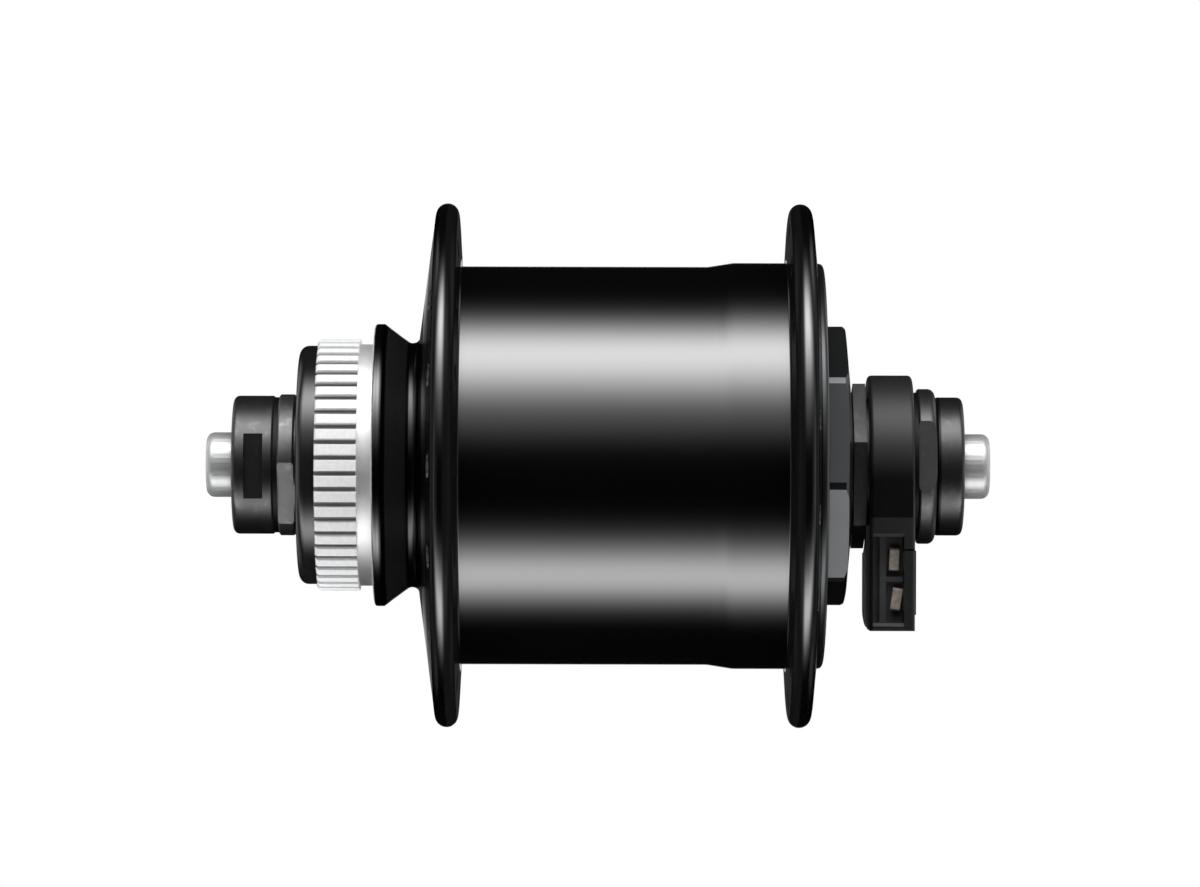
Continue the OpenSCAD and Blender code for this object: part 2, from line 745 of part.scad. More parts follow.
// The block that hangs below the ring: plain sides and, on the hub's side, a flat swell
module connector_block() {
    from = connector_start;
    to = wire_washer_start;
    back = block_depth - block_front;
    back_round = 3;
    swell_inset = 0.8;
    swell_top = 8;
    swell_end = block_drop - 0.2;
    swell_run = 2.6;
    swell_steps = 8;
    intersection() {
        union() {
            rotate([-90, 0, 0]) linear_extrude(block_drop) polygon(concat(
                [[back, from]],
                arc([ring_round - block_front, from + ring_round], ring_round, 270, 180),
                arc([ring_round - block_front, to - ring_round], ring_round, 180, 90),
                [[back, to]]
            ));
            translate([swell_inset - block_front, 0, 0]) rotate([90, 0, 90])
                linear_extrude(block_depth - swell_inset) polygon(concat(
                    [[swell_top, -from - over], [swell_top, -from + block_swell]],
                    [for (i = [0:swell_steps]) let (t = 90 * i / swell_steps)
                        [swell_end - swell_run * (1 - sin(t)), -from + block_swell * cos(t)]],
                    [[swell_end, -from - over]]
                ));
        }
        translate([0, 0, -to - over]) linear_extrude(to - from + block_swell + 2 * over) polygon(concat(
            [[-block_front, 0]],
            arc([-block_front + edge, block_drop - edge], edge, 180, 90, 3),
            arc([back - back_round, block_drop - back_round], back_round, 90, 0, 6),
            [[back, 0]]
        ));
    }
}

// The hollow for the plug, with a sloped lead-in above and below
module plug_recess() {
    lead_in = 0.45;
    recess_end = recess_top + recess_h;
    translate([0, 0, recess_from]) linear_extrude(recess_w) polygon([
        [recess_floor, recess_top], [lead_in - block_front, recess_top],
        [-block_front - over, recess_top - lead_in - over],
        [-block_front - over, recess_end + lead_in + over],
        [lead_in - block_front, recess_end], [recess_floor, recess_end]
    ]);
}

// Ribs on the recess floor: one beside both contacts and one between them
module recess_ribs() {
    rib_h = 1.3;
    rib_w = 0.7;
    side_rib_w = 0.9;
    side_rib_from = contact_line + contact_w / 2 + 0.45;
    translate([recess_floor - rib_h, recess_top - over, side_rib_from])
        cube([rib_h + over, recess_h + 2 * over, side_rib_w]);
    translate([recess_floor - rib_h, contact_middle - rib_w / 2, recess_from - over])
        cube([rib_h + over, rib_w, side_rib_from - recess_from + over + fit]);
}

module connector_housing() {
    pocket_w = 2 * (tail_gap + max(tail_w / 2, lead_r) + fit);
    pocket_from = contact_line - pocket_w / 2;
    seam_w = 0.25;
    seam_depth = 0.4;
    color([0.07, 0.07, 0.075]) along_axle() difference() {
        union() {
            rounded_ring(
                connector_d / 2, axle_bore_r, -wire_washer_start, -connector_start, ring_round, ring_round
            );
            difference() {
                connector_block();
                translate([0, 0, -wire_washer_start - over])
                    cylinder(r = axle_bore_r + over, h = connector_w + 2 * over);
                translate([0, 0, -connector_start])
                    cylinder(r = hex_corner_r + run_gap, h = block_swell + over);
            }
            translate([-block_front + ring_round, pad_top, -wire_washer_start - pad_rise])
                cube([block_depth - 4, pad_end - pad_top, pad_rise + over]);
        }
        translate([-block_front - over, pad_top - seam_w, -wire_washer_start - over])
            cube([over + seam_depth, seam_w, recess_from + wire_washer_start + 2 * over]);
        difference() {
            plug_recess();
            recess_ribs();
        }
        for (foot = [[upper_middle, 1], [lower_middle, -1]])
            translate([recess_floor - over, foot[0] - foot_h / 2 - fit, tail_start(foot[1]) - fit])
                cube([over + tail_floor - recess_floor, foot_h + 2 * fit, tail_w + 2 * fit]);
        translate([tail_floor - fit, tail_top - fit, pocket_from])
            cube([contact_t + 2 * fit, lower_middle + foot_h / 2 - tail_top + 2 * fit, pocket_w]);
        translate([tail_floor - fit, 0, pocket_from])
            cube([lead_groove_w - tail_floor, tail_top + contact_t + fit, pocket_w]);
    }
}

// Where the tail of a contact starts along the axle, 1 for the upper and -1 for the lower contact
function tail_start(side) = contact_line + side * tail_gap - tail_w / 2;

// A contact: a strip with bent ends, a foot, and a tail behind the recess floor that turns in under its lead
module contact(strip_middle, strip_line, side, lead_place, lean) {
    bend = 0.25;
    front = recess_floor - contact_rise;
    half = contact_h / 2;
    tail_from = tail_start(side);
    translate([front, strip_middle, strip_line]) rotate([lean, 0, 0])
        translate([0, 0, -contact_w / 2]) linear_extrude(contact_w) polygon([
            [bend, -half], [0, bend - half], [0, half - bend], [bend, half],
            [bend + contact_t, half], [contact_t, half - bend],
            [contact_t, bend - half], [bend + contact_t, -half]
        ]);
    translate([front + contact_t / 2, strip_middle - foot_h / 2, tail_from])
        cube([tail_floor + contact_t / 2 - front, foot_h, tail_w]);
    translate([tail_floor, tail_top, tail_from])
        cube([contact_t, strip_middle + foot_h / 2 - tail_top, tail_w]);
    translate([tail_floor, tail_top, tail_from]) cube([lead_place + lead_r - tail_floor, contact_t, tail_w]);
}

module upper_contact() {
    color([0.72, 0.52, 0.34]) along_axle()
        contact(upper_middle, contact_line, 1, -lead_gap, upper_lean);
}

module lower_contact() {
    color([0.72, 0.52, 0.34]) along_axle()
        contact(lower_middle, contact_line - contact_step, -1, lead_gap, lower_lean);
}

// One lead: out of the coil, along the groove in the axle, and out to its contact
module coil_lead(across, exit_place) {
    straight_from = exit_place + lead_bend;
    straight_to = lead_entry - lead_bend;
    translate([across, lead_line, straight_from])
        cylinder(r = lead_r, h = straight_to - straight_from, $fn = 32);
    for (bend = [[straight_from, 1], [straight_to, 0]])
        translate([across, lead_line + lead_bend, bend[0]]) mirror([0, 0, bend[1]])
            rotate([0, 90, 0]) rotate(180)
                rotate_extrude(angle = 90) translate([lead_bend, 0]) circle(r = lead_r, $fn = 32);
    translate([across, lead_line + lead_bend, lead_entry]) rotate([-90, 0, 0])
        cylinder(r = lead_r, h = bobbin_tube_r - 2 * fit - lead_line - lead_bend, $fn = 32);
    translate([across, lead_line + lead_bend, exit_place]) rotate([-90, 0, 0])
        cylinder(r = lead_r, h = tail_top - lead_line - lead_bend, $fn = 32);
}

module coil_leads() {
    color([0.75, 0.15, 0.12]) along_axle() {
        coil_lead(-lead_gap, contact_line + tail_gap);
        coil_lead(lead_gap, contact_line - tail_gap);
    }
}

module wire_side_washer() {
    color([0.25, 0.25, 0.26]) along_axle()
        ring(round_nut_d / 2 - 0.5, axle_bore_r, -wire_washer_start - wire_washer_t, -wire_washer_start);
}

module round_nut() {
    lock_side_round = 1;
    color([0.15, 0.15, 0.155]) along_axle() difference() {
        rounded_ring(
            round_nut_d / 2, axle_bore_r, -wire_locknut_start, -round_nut_start, lock_side_round, edge
        );
        two_flats(round_nut_flats, round_nut_turn, -wire_locknut_start - over, -round_nut_start + over);
    }
}

module wire_side_locknut() {
    color([0.12, 0.12, 0.125]) along_axle() mirror([0, 0, 1]) difference() {
        rounded_ring(locknut_d / 2, axle_bore_r, wire_locknut_start, lock_face, edge, nut_round);
        bite_marks(lock_face);
    }
}

hub_shell();
side_cover();
cover_o_ring();
iron_ring();
magnets();
disc_side_cup();
disc_side_dust_cap();
wire_side_outer_race();
wire_side_shields();
wire_side_seal();
disc_side_balls();
disc_side_ball_cage();
wire_side_balls();
wire_side_ball_cage();
axle();
disc_side_cone();
disc_side_cone_seal();
disc_side_washer();
disc_side_locknut();
stator_core();
disc_side_claw_yoke();
wire_side_claw_yoke();
coil_bobbin();
coil_winding();
disc_side_stator_nut();
wire_side_stator_nut();
bearing_spacer();
wire_side_inner_race();
hex_nut();
connector_housing();
upper_contact();
lower_contact();
coil_leads();
wire_side_washer();
round_nut();
wire_side_locknut();
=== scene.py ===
import json
import math

import bmesh
import bpy
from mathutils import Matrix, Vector


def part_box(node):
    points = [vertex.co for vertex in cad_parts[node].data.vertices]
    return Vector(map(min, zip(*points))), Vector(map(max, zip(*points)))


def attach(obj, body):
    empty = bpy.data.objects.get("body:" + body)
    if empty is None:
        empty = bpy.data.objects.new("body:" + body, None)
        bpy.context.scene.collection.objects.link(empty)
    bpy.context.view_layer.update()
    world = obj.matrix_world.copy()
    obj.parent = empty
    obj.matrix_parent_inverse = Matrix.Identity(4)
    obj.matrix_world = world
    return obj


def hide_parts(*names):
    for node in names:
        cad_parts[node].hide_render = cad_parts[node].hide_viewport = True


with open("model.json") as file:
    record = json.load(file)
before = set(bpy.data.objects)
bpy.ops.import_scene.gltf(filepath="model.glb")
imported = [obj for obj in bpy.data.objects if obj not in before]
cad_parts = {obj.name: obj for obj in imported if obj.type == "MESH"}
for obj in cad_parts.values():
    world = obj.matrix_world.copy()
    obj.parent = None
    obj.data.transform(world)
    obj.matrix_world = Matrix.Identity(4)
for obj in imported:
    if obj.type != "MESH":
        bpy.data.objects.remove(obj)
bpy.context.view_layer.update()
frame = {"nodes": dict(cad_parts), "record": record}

MM = 0.001
mounts = {mount["name"]: mount for mount in frame["record"]["mounts"]}

# Places for the finishes, in metres. They lie along the axle, or out from it where the name ends in _R.
# A pair is a stretch between two places.

# Spline, its bare metal and the mouth of the boss
STOP_FACE = mounts["disc_stop_face"]["pos_m"][1]
SPLINE_MIDDLE = mounts["disc_spline"]["pos_m"][1]
SPLINE_TIP_R = mounts["disc_spline"]["dims"]["r_mm"] * MM
SPLINE_LEN = 5.75 * MM
SPLINE_START = SPLINE_MIDDLE - SPLINE_LEN / 2
SPLINE_END = SPLINE_MIDDLE + SPLINE_LEN / 2
BARE_METAL_STARTS = (STOP_FACE - 0.22 * MM, STOP_FACE)
BARE_METAL_ENDS = (SPLINE_END - 0.09 * MM, SPLINE_END - 0.03 * MM)
GROOVE_SIDES_R = (SPLINE_TIP_R - 0.55 * MM, SPLINE_TIP_R - 0.1 * MM)
RELIEF_ENDS = (SPLINE_START - 0.06 * MM, SPLINE_START)
NOSE_STARTS = (SPLINE_END - 0.05 * MM, SPLINE_END + 0.05 * MM)
BOSS_END = mounts["lockring_thread"]["pos_m"][1]
MOUTH_R = 14.5 * MM
MOUTH_DEPTH = 5.9 * MM

# Collar behind the spline, and the neck between collar and flange
COLLAR_RIM = (29.6 * MM, 30.45 * MM)
COLLAR_BACK = (28.4 * MM, 29.85 * MM)
COLLAR_SLOPE = (25.9 * MM, 28.9 * MM)
NECK = (21.9 * MM, 26.7 * MM)
NECK_MIDDLE = 24.5 * MM
NECK_BRIGHTENS = (NECK_MIDDLE - 0.3 * MM, NECK_MIDDLE + 0.3 * MM)
NECK_R = 24 * MM
NECK_EDGE_R = (NECK_R - MM, NECK_R)

# Drum and flanges; the flanges' inner walls begin outside the low step of the drum
DRUM_R = 27.35 * MM
BETWEEN_FLANGES = (-27.65 * MM, 20.8 * MM)
INNER_WALLS_R = (DRUM_R + 0.75 * MM, DRUM_R + 1.1 * MM)
FLANGE_FACE_R = (28.3 * MM, 34.3 * MM)
RIM_EDGE_R = (FLANGE_FACE_R[1] - 0.4 * MM, FLANGE_FACE_R[1])
WIRE_RIM_OUTSIDE = (-28.9 * MM, -28.4 * MM)
DISC_RIM_OUTSIDE = (21.35 * MM, 21.85 * MM)

# Axle ends and the connector side locknut
FORK_FACE = mounts["fork_face_disc_side"]["pos_m"][1]
GRIME_ENDS = (FORK_FACE + 0.1 * MM, FORK_FACE + 0.9 * MM)
# Painted shade on the connector side locknut's inner end, where it meets the round nut
LOCKNUT_SHADE = (-46.9 * MM, -46.65 * MM)

# Connector: from front to back, along the axle, then heights
RECESS_FRONT = mounts["plug_socket"]["pos_m"][0]
FRONT_SKIN = (RECESS_FRONT + 0.2 * MM, RECESS_FRONT + 1.5 * MM)
RECESS_INSIDE = (RECESS_FRONT + 3 * MM, RECESS_FRONT + 8 * MM)
RECESS_MIDDLE = mounts["plug_socket"]["pos_m"][1]
RECESS_SIDES = (RECESS_MIDDLE - 2.3 * MM, RECESS_MIDDLE + 2.3 * MM)
APRON_TOP = (-2.2 * MM, 1.2 * MM)
APRON_END = -6.9 * MM
APRON_FOOT = (APRON_END - 0.1 * MM, APRON_END + 0.1 * MM)
RECESS_TOP = (APRON_END - 3 * MM, APRON_END - 2 * MM)

# Thickness of the enamelled wire, which is the pitch of its turns too
WIRE_D = 0.36 * MM

# The photograph's frame and where the hub lies in it
IMAGE_W = 1200
IMAGE_H = 887
PIXELS_PER_METRE = 7270
HUB_MIDDLE_PIXEL = (598.0, 465.6)
CAMERA_DISTANCE = 0.85
CAMERA_ROLL = math.radians(-0.15)
SENSOR_W = 36


# Shader sums

class Socket:
    """A shader output that sums, products and other nodes can be built on."""

    def __init__(self, tree, output=None):
        self.tree = tree
        self.output = output

    def feed(self, entry, value):
        """Links another socket to an input, or sets the input's own value."""
        if isinstance(value, Socket):
            self.tree.links.new(value.output, entry)
        else:
            entry.default_value = value

    def node(self, kind, settings=None, sockets=None, output=0):
        """Adds a node, sets it up, feeds its sockets and gives one of its outputs."""
        made = self.tree.nodes.new(kind)
        for key, value in (settings or {}).items():
            setattr(made, key, value)
        for key, value in (sockets or {}).items():
            self.feed(made.inputs[key], value)
        return Socket(self.tree, made.outputs[output])

    def other(self, name):
        """Another output of the same node."""
        return Socket(self.tree, self.output.node.outputs[name])

    def maths(self, operation, *values):
        """A Math node on some values."""
        return self.node("ShaderNodeMath", {"operation": operation}, dict(enumerate(values)))

    def __add__(self, other):
        return self.maths("ADD", self, other)

    def __radd__(self, other):
        return self.maths("ADD", other, self)

    def __sub__(self, other):
        return self.maths("SUBTRACT", self, other)

    def __rsub__(self, other):
        return self.maths("SUBTRACT", other, self)

    def __mul__(self, other):
        return self.maths("MULTIPLY", self, other)

    def __rmul__(self, other):
        return self.maths("MULTIPLY", other, self)

    def __truediv__(self, other):
        return self.maths("DIVIDE", self, other)

    def ramp(self, low, high):
        """0 below low, 1 above high, and a smooth rise between them."""
        return self.node(
            "ShaderNodeMapRange",
            {"interpolation_type": "SMOOTHSTEP"},
            {"Value": self, "From Min": low, "From Max": high},
        )

    def bell(self, centre, below, above):
        """1 at the centre, falling off with one width below it and another above it."""
        off = self - centre
        share = off / (below + off.maths("GREATER_THAN", off, 0.0) * (above - below))
        return share.maths("EXPONENT", share * share * -0.5)

    def between(self, low, high, soft):
        """1 between two values, with a soft edge on the inside of each."""
        return self.ramp(low, low + soft) * (1 - self.ramp(high - soft, high))

    def mix(self, low_colour, high_colour):
        """A colour that goes from one to the other as this value goes from 0 to 1."""
        return self.node(
            "ShaderNodeMix",
            {"data_type": "RGBA"},
            {"Factor": self, 6: low_colour, 7: high_colour},
            output=2,
        )

    def noise(self, scale, detail=2.0, roughness=0.5):
        """Soft random blotches, with scale counted per metre."""
        return self.node(
            "ShaderNodeTexNoise",
            None,
            {"Vector": self, "Scale": scale, "Detail": detail, "Roughness": roughness},
            output="Fac",
        )

    def bump(self, height, strength):
        """A bumped normal from a height in metres."""
        return self.node(
            "ShaderNodeBump", None, {"Height": height, "Strength": strength, "Distance": 1.0}
        )


def grey(level, warm=0.0):
    """A grey colour, a little warmer or, below zero, cooler."""
    return (level * (1 + warm), level, level * (1 - warm), 1.0)


class Finish:
    """A new material with its shader, and the places that the piece's Object coordinates give."""

    def __init__(self, name):
        self.material = bpy.data.materials.new(name)
        self.material.use_nodes = True
        tree = self.material.node_tree
        self.shader = tree.nodes["Principled BSDF"]
        self.place = Socket(tree).node("ShaderNodeTexCoord", output="Object")
        self.along = self.place.node(
            "ShaderNodeSeparateXYZ", None, {"Vector": self.place}, output="Y"
        )
        self.across = self.along.other("X")
        self.height = self.along.other("Z")
        self.radius = self.place.maths("SQRT", self.across * self.across + self.height * self.height)

    def set(self, **values):
        """Feeds the shader's sockets, named in small letters here, and gives the material."""
        for name, value in values.items():
            socket_name = name.replace("_", " ").title().replace("Ior", "IOR")
            self.place.feed(self.shader.inputs[socket_name], value)
        return self.material

    def turning_lines(self, per_metre):
        """Fine random rings round the axle, as a lathe leaves them."""
        rings = self.place.node(
            "ShaderNodeCombineXYZ", None, {"X": self.radius, "Y": self.along, "Z": 0.0}
        )
        return rings.noise(per_metre, detail=1.0)


# Finish of the shell: black paint with a clear coat, and a bare spline

# Share of the coat's gloss that each place has lost
FLANGE_FACE_DULLED = 0.5
RIM_EDGE_DULLED = 0.92
INNER_WALLS_DULLED = 0.95
NECK_DULLED = 0.85
NECK_GLOSS_REGAINED = 0.2
COLLAR_RIM_DULLED = 0.35
COLLAR_BACK_DULLED = 0.9
NOSE_DULLED = 0.5


def bare_of_paint(f):
    """1 from the stop face to the end of the spline, with slightly uneven edges to the paint."""
    uneven = f.place.noise(1500, detail=2.0)
    along = f.along + (uneven - 0.5) * (0.12 * MM)
    return along.ramp(*BARE_METAL_STARTS) * (1 - along.ramp(*BARE_METAL_ENDS))


def black_paint_with_sheen(f, on_nose, on_inner_walls):
    """Deep black, a little greyer on the nose; the grey on the flanges' inner walls and on the collar's
    slope is painted sheen.
    """
    smudge = f.place.noise(70, detail=3.0)
    painted_slope_sheen = f.along.between(*COLLAR_SLOPE, soft=0.3 * MM)
    paint = smudge.mix(grey(0.0005, -0.05), grey(0.001, -0.06))
    paint = on_nose.mix(paint, grey(0.008, -0.03))
    # Painted sheen on the flanges' inner walls
    paint = on_inner_walls.mix(paint, grey(0.005, -0.03))
    # Painted sheen on the collar's slope
    return painted_slope_sheen.mix(paint, grey(0.012, -0.03))


def dulled_coat(f, on_nose, on_inner_walls):
    """The share of gloss that the coat has lost, place by place."""
    on_flange_face = f.radius.between(*FLANGE_FACE_R, soft=0.6 * MM) * (1 - on_inner_walls)
    outside_rims = f.along.ramp(*DISC_RIM_OUTSIDE) + 1 - f.along.ramp(*WIRE_RIM_OUTSIDE)
    on_rim_edge = outside_rims * f.radius.ramp(*RIM_EDGE_R)
    flanges = on_flange_face * FLANGE_FACE_DULLED + on_rim_edge * RIM_EDGE_DULLED
    flanges = flanges + on_inner_walls * INNER_WALLS_DULLED
    in_neck = f.along.between(*NECK, soft=0.8 * MM) * (1 - f.radius.ramp(*NECK_EDGE_R))
    neck = in_neck * (NECK_DULLED - NECK_GLOSS_REGAINED * f.along.ramp(*NECK_BRIGHTENS))
    on_collar_rim = f.along.between(*COLLAR_RIM, soft=0.4 * MM)
    on_collar_back = f.along.between(*COLLAR_BACK, soft=0.5 * MM)
    collar = on_collar_rim * COLLAR_RIM_DULLED + on_collar_back * COLLAR_BACK_DULLED
    return flanges + neck + collar + on_nose * NOSE_DULLED


def bare_spline_metal_and_groove_shade(f):
    """Colour, roughness and metallic share of the spline, its grooves and the plain land behind it; the
    grooves are darkened with painted shade.
    """
    mottle = f.place.noise(1800, detail=3.0, roughness=0.65)
    below_tips = 1 - f.radius.ramp(*GROOVE_SIDES_R)
    painted_groove_shade = below_tips * f.along.between(SPLINE_START, SPLINE_END, soft=0.05 * MM)
    on_relief = 1 - f.along.ramp(*RELIEF_ENDS)
    colour = mottle.ramp(0.3, 0.7).mix(grey(0.72, -0.01), grey(0.79, -0.01))
    colour = on_relief.mix(colour, grey(0.8))
    # Painted shade: the grooves are darker
    colour = painted_groove_shade.mix(colour, grey(0.2, 0.03))
    return colour, 0.46 + mottle * 0.12, 0.12 + on_relief * 0.83


def gloss_black_with_bare_spline():
    f = Finish("gloss_black_shell")
    bare = bare_of_paint(f)
    on_nose = f.along.ramp(*NOSE_STARTS)
    on_inner_walls = f.along.between(*BETWEEN_FLANGES, soft=0.45 * MM) * f.radius.ramp(*INNER_WALLS_R)
    metal, metal_roughness, metal_share = bare_spline_metal_and_groove_shade(f)
    lines = f.turning_lines(9000)
    peel = f.place.noise(900, detail=1.0)
    height = bare * lines * (0.006 * MM) + (1 - bare) * peel * (0.002 * MM)
    return f.set(
        base_color=bare.mix(black_paint_with_sheen(f, on_nose, on_inner_walls), metal),
        roughness=0.3 * (1 - bare) + metal_roughness * bare,
        metallic=bare * metal_share,
        specular_ior_level=0.0,
        coat_weight=(1 - bare) * (1 - dulled_coat(f, on_nose, on_inner_walls)),
        coat_roughness=0.16,
        coat_ior=2.0,
        normal=f.place.bump(height, 0.6),
    )


# Finishes of the other outer pieces

def satin_black_cover():
    f = Finish("satin_black_cover")
    lines = f.turning_lines(7000)
    cloud = f.place.noise(160, detail=3.0)
    return f.set(
        base_color=cloud.mix(grey(0.055, -0.035), grey(0.07, -0.035)),
        metallic=0.9,
        roughness=0.27 + lines * 0.06,
        normal=f.place.bump(lines * (0.003 * MM) + cloud * (0.006 * MM), 0.5),
    )


def blackened_steel(name, level, base_roughness, darkens=None):
    """Turned steel blackened to a level; darkens, if given, is the stretch over which it turns darker, a
    painted shade.
    """
    f = Finish(name)
    lines = f.turning_lines(6000)
    cloud = f.place.noise(300, detail=3.0)
    rub = f.place.noise(700, detail=3.0).ramp(0.5, 0.8)
    colour = cloud.mix(grey(level * 0.85, -0.01), grey(level * 1.1, 0.01))
    colour = rub.mix(colour, grey(level * 1.4))
    if darkens:
        # Painted shade over the stretch that darkens gives
        colour = f.along.ramp(*darkens).mix(colour, grey(level * 0.25))
    return f.set(
        base_color=colour,
        metallic=0.92,
        roughness=base_roughness + lines * 0.1 - rub * 0.03,
        normal=f.place.bump(lines * (0.004 * MM), 0.6),
    )


def bare_axle_steel():
    """Turned steel, with some grime where the axle comes out of the locknuts."""
    f = Finish("bare_axle_steel")
    lines = f.turning_lines(5000)
    cloud = f.place.noise(500, detail=3.0)
    far_out = f.place.maths("ABSOLUTE", f.along)
    grime = 1 - far_out.ramp(*GRIME_ENDS)
    metal = cloud.mix(grey(0.47, -0.008), grey(0.6, -0.008))
    return f.set(
        base_color=(grime * 0.35).mix(metal, grey(0.2, 0.04)),
        metallic=0.7,
        roughness=0.36 + lines * 0.12,
        normal=f.place.bump(lines * (0.006 * MM), 0.6),
    )


def satin_connector_plastic():
    """Moulded plastic, glossier on the apron above the recess, with painted shade darkening the apron and
    painted light lifting the inside of the recess.
    """
    f = Finish("satin_connector_plastic")
    grain = f.place.noise(5200, detail=2.0)
    flow = f.place.noise(220, detail=2.0)
    apron_height = f.height.ramp(*APRON_FOOT) * (1 - f.height.ramp(*APRON_TOP))
    on_apron = apron_height * (1 - f.across.ramp(*FRONT_SKIN))
    deep = f.across.between(*RECESS_INSIDE, soft=1.5 * MM)
    recess_painted_light = deep * f.along.between(*RECESS_SIDES, soft=0.1 * MM)
    recess_painted_light = recess_painted_light * (1 - f.height.ramp(*RECESS_TOP))
    plastic = flow.mix(grey(0.0045, -0.06), grey(0.0075, -0.06))
    # Painted shade: the apron is darker
    plastic = on_apron.mix(plastic, grey(0.002, -0.03))
    # Painted light: the inside of the recess is lighter, lifting its shade
    plastic = recess_painted_light.mix(plastic, grey(0.075, -0.03))
    return f.set(
        base_color=plastic,
        specular_ior_level=0.45,
        roughness=0.44 + grain * 0.1 - on_apron * 0.2,
        normal=f.place.bump(grain * (0.008 * MM), 0.5),
    )


def tinned_contact_metal():
    f = Finish("tinned_contact_metal")
    wear = f.place.noise(1600, detail=3.0)
    return f.set(
        base_color=wear.ramp(0.35, 0.65).mix((0.76, 0.62, 0.53, 1), (0.94, 0.82, 0.73, 1)),
        metallic=0.6,
        roughness=0.42 + wear * 0.2,
        normal=f.place.bump(wear * (0.015 * MM), 0.4),
    )


def seal_rubber():
    f = Finish("moulded_seal_rubber")
    grain = f.place.noise(3000, detail=3.0)
    return f.set(
        base_color=grain.mix(grey(0.012), grey(0.024)),
        roughness=0.62 + grain * 0.2,
        normal=f.place.bump(grain * (0.02 * MM), 0.5),
    )


# Finishes of the inner pieces

def ground_bearing_steel():
    f = Finish("ground_bearing_steel")
    lines = f.turning_lines(9000)
    return f.set(
        base_color=lines.mix(grey(0.66, 0.01), grey(0.76, 0.01)),
        metallic=1.0,
        roughness=0.14 + lines * 0.1,
        normal=f.place.bump(lines * (0.002 * MM), 0.5),
    )


def plated_soft_iron():
    f = Finish("plated_soft_iron")
    cloud = f.place.noise(400, detail=4.0)
    return f.set(
        base_color=cloud.mix(grey(0.33, 0.02), grey(0.47, 0.03)),
        metallic=0.95,
        roughness=0.4 + cloud * 0.2,
        normal=f.place.bump(cloud * (0.03 * MM), 0.4),
    )


def dull_magnet():
    f = Finish("dull_magnet")
    grain = f.place.noise(2500, detail=3.0)
    return f.set(
        base_color=grain.mix(grey(0.09, 0.02), grey(0.16, 0.02)),
        metallic=0.4,
        roughness=0.6 + grain * 0.15,
        normal=f.place.bump(grain * (0.03 * MM), 0.5),
    )


def enamelled_wire():
    f = Finish("enamelled_copper_wire")
    turns = f.place.maths("PINGPONG", f.along / WIRE_D, 0.5) * 2
    lacquer = f.place.noise(600, detail=2.0)
    return f.set(
        # Painted highlight on each turn's crown and painted shade in the creases between turns
        base_color=(turns * 0.7 + lacquer * 0.3).mix((0.22, 0.07, 0.02, 1), (0.68, 0.3, 0.12, 1)),
        metallic=0.85,
        roughness=0.3 + lacquer * 0.1,
        normal=f.place.bump(turns * (0.08 * MM), 0.8),
    )


def moulded_plastic(name, dark, light):
    f = Finish(name)
    flow = f.place.noise(350, detail=3.0)
    grain = f.place.noise(3500, detail=2.0)
    return f.set(
        base_color=flow.mix(dark, light),
        roughness=0.42 + grain * 0.15,
        normal=f.place.bump(grain * (0.015 * MM), 0.4),
    )


# Pieces: the CAD nodes with their finishes, the outer ones welded so that round faces shade as one

# Corners closer than this, in metres, are joined
WELD = 2e-6
# Edges that turn by more than this stay sharp
CREASE = math.radians(20)
WOUND_CREASE = math.radians(50)
# A face counts as parallel to the axle if its normal leans along the axle by less than this
PARALLEL = 0.002
# Cosines of how far normals may be off: for a round face, for its neighbours and for a flat side
ROUND = math.cos(math.radians(4))
TANGENT = math.cos(math.radians(12))
FLAT_SIDE = math.cos(math.radians(40))


def body_of(node):
    """The body that a CAD node moves with."""
    for body, members in frame["record"]["behaviour"]["bodies"].items():
        if node in members:
            return body
    raise ValueError(node)


def slot_of(node):
    """The material slot that the record gives a CAD node."""
    for row in frame["record"]["subparts"]:
        if row["node"] == node:
            return row["material_slot"]
    raise ValueError(node)


def linked_object(name, data):
    """A new object in the scene."""
    made = bpy.data.objects.new(name, data)
    bpy.context.collection.objects.link(made)
    return made


def settled_mesh(piece):
    """The plain mesh that a piece's modifiers make; the modifiers are removed."""
    evaluated = piece.evaluated_get(bpy.context.evaluated_depsgraph_get())
    mesh = bpy.data.meshes.new_from_object(evaluated)
    piece.modifiers.clear()
    return mesh


def true_round_normals(mesh, crown):
    """Turns the normals of round faces straight out from the axle or in to it.

    Those of flat sides turn outwards by the crown's share, as if the side were a little bulged."""
    normals = [corner.vector.copy() for corner in mesh.corner_normals]
    outward = [Vector((v.co.x, 0, v.co.z)).normalized() for v in mesh.vertices]
    true_normal = {}
    flat_sides = set()
    for face in mesh.polygons:
        if abs(face.normal.y) > PARALLEL:
            continue
        facing = [face.normal.dot(outward[v]) for v in face.vertices]
        if min(facing) > ROUND:
            true_normal.update({v: outward[v] for v in face.vertices})
        elif max(facing) < -ROUND:
            true_normal.update({v: -outward[v] for v in face.vertices})
        else:
            flat_sides.add(face.index)
    for face in mesh.polygons:
        for loop, v in zip(face.loop_indices, face.vertices):
            if face.index in flat_sides:
                if face.normal.dot(outward[v]) > FLAT_SIDE:
                    normals[loop] = face.normal.lerp(outward[v], crown).normalized()
            elif v in true_normal and normals[loop].dot(true_normal[v]) > TANGENT:
                normals[loop] = true_normal[v]
    mesh.normals_split_custom_set(normals)


def welded_mesh(node, finish):
    """A copy of a CAD node's mesh with its triangles joined, smooth except at its creases."""
    mesh = bpy.data.meshes.new(node + "_welded")
    work = bmesh.new()
    work.from_mesh(frame["nodes"][node].data)
    bmesh.ops.remove_doubles(work, verts=work.verts, dist=WELD)
    bmesh.ops.dissolve_degenerate(work, edges=work.edges, dist=WELD / 2)
    for edge in work.edges:
        edge.smooth = True
    for face in work.faces:
        face.smooth = True
        face.material_index = 0
    work.to_mesh(mesh)
    work.free()
    if "custom_normal" in mesh.attributes:
        mesh.attributes.remove(mesh.attributes["custom_normal"])
    mesh.set_sharp_from_angle(angle=CREASE)
    mesh.materials.clear()
    mesh.materials.append(finish)
    return mesh


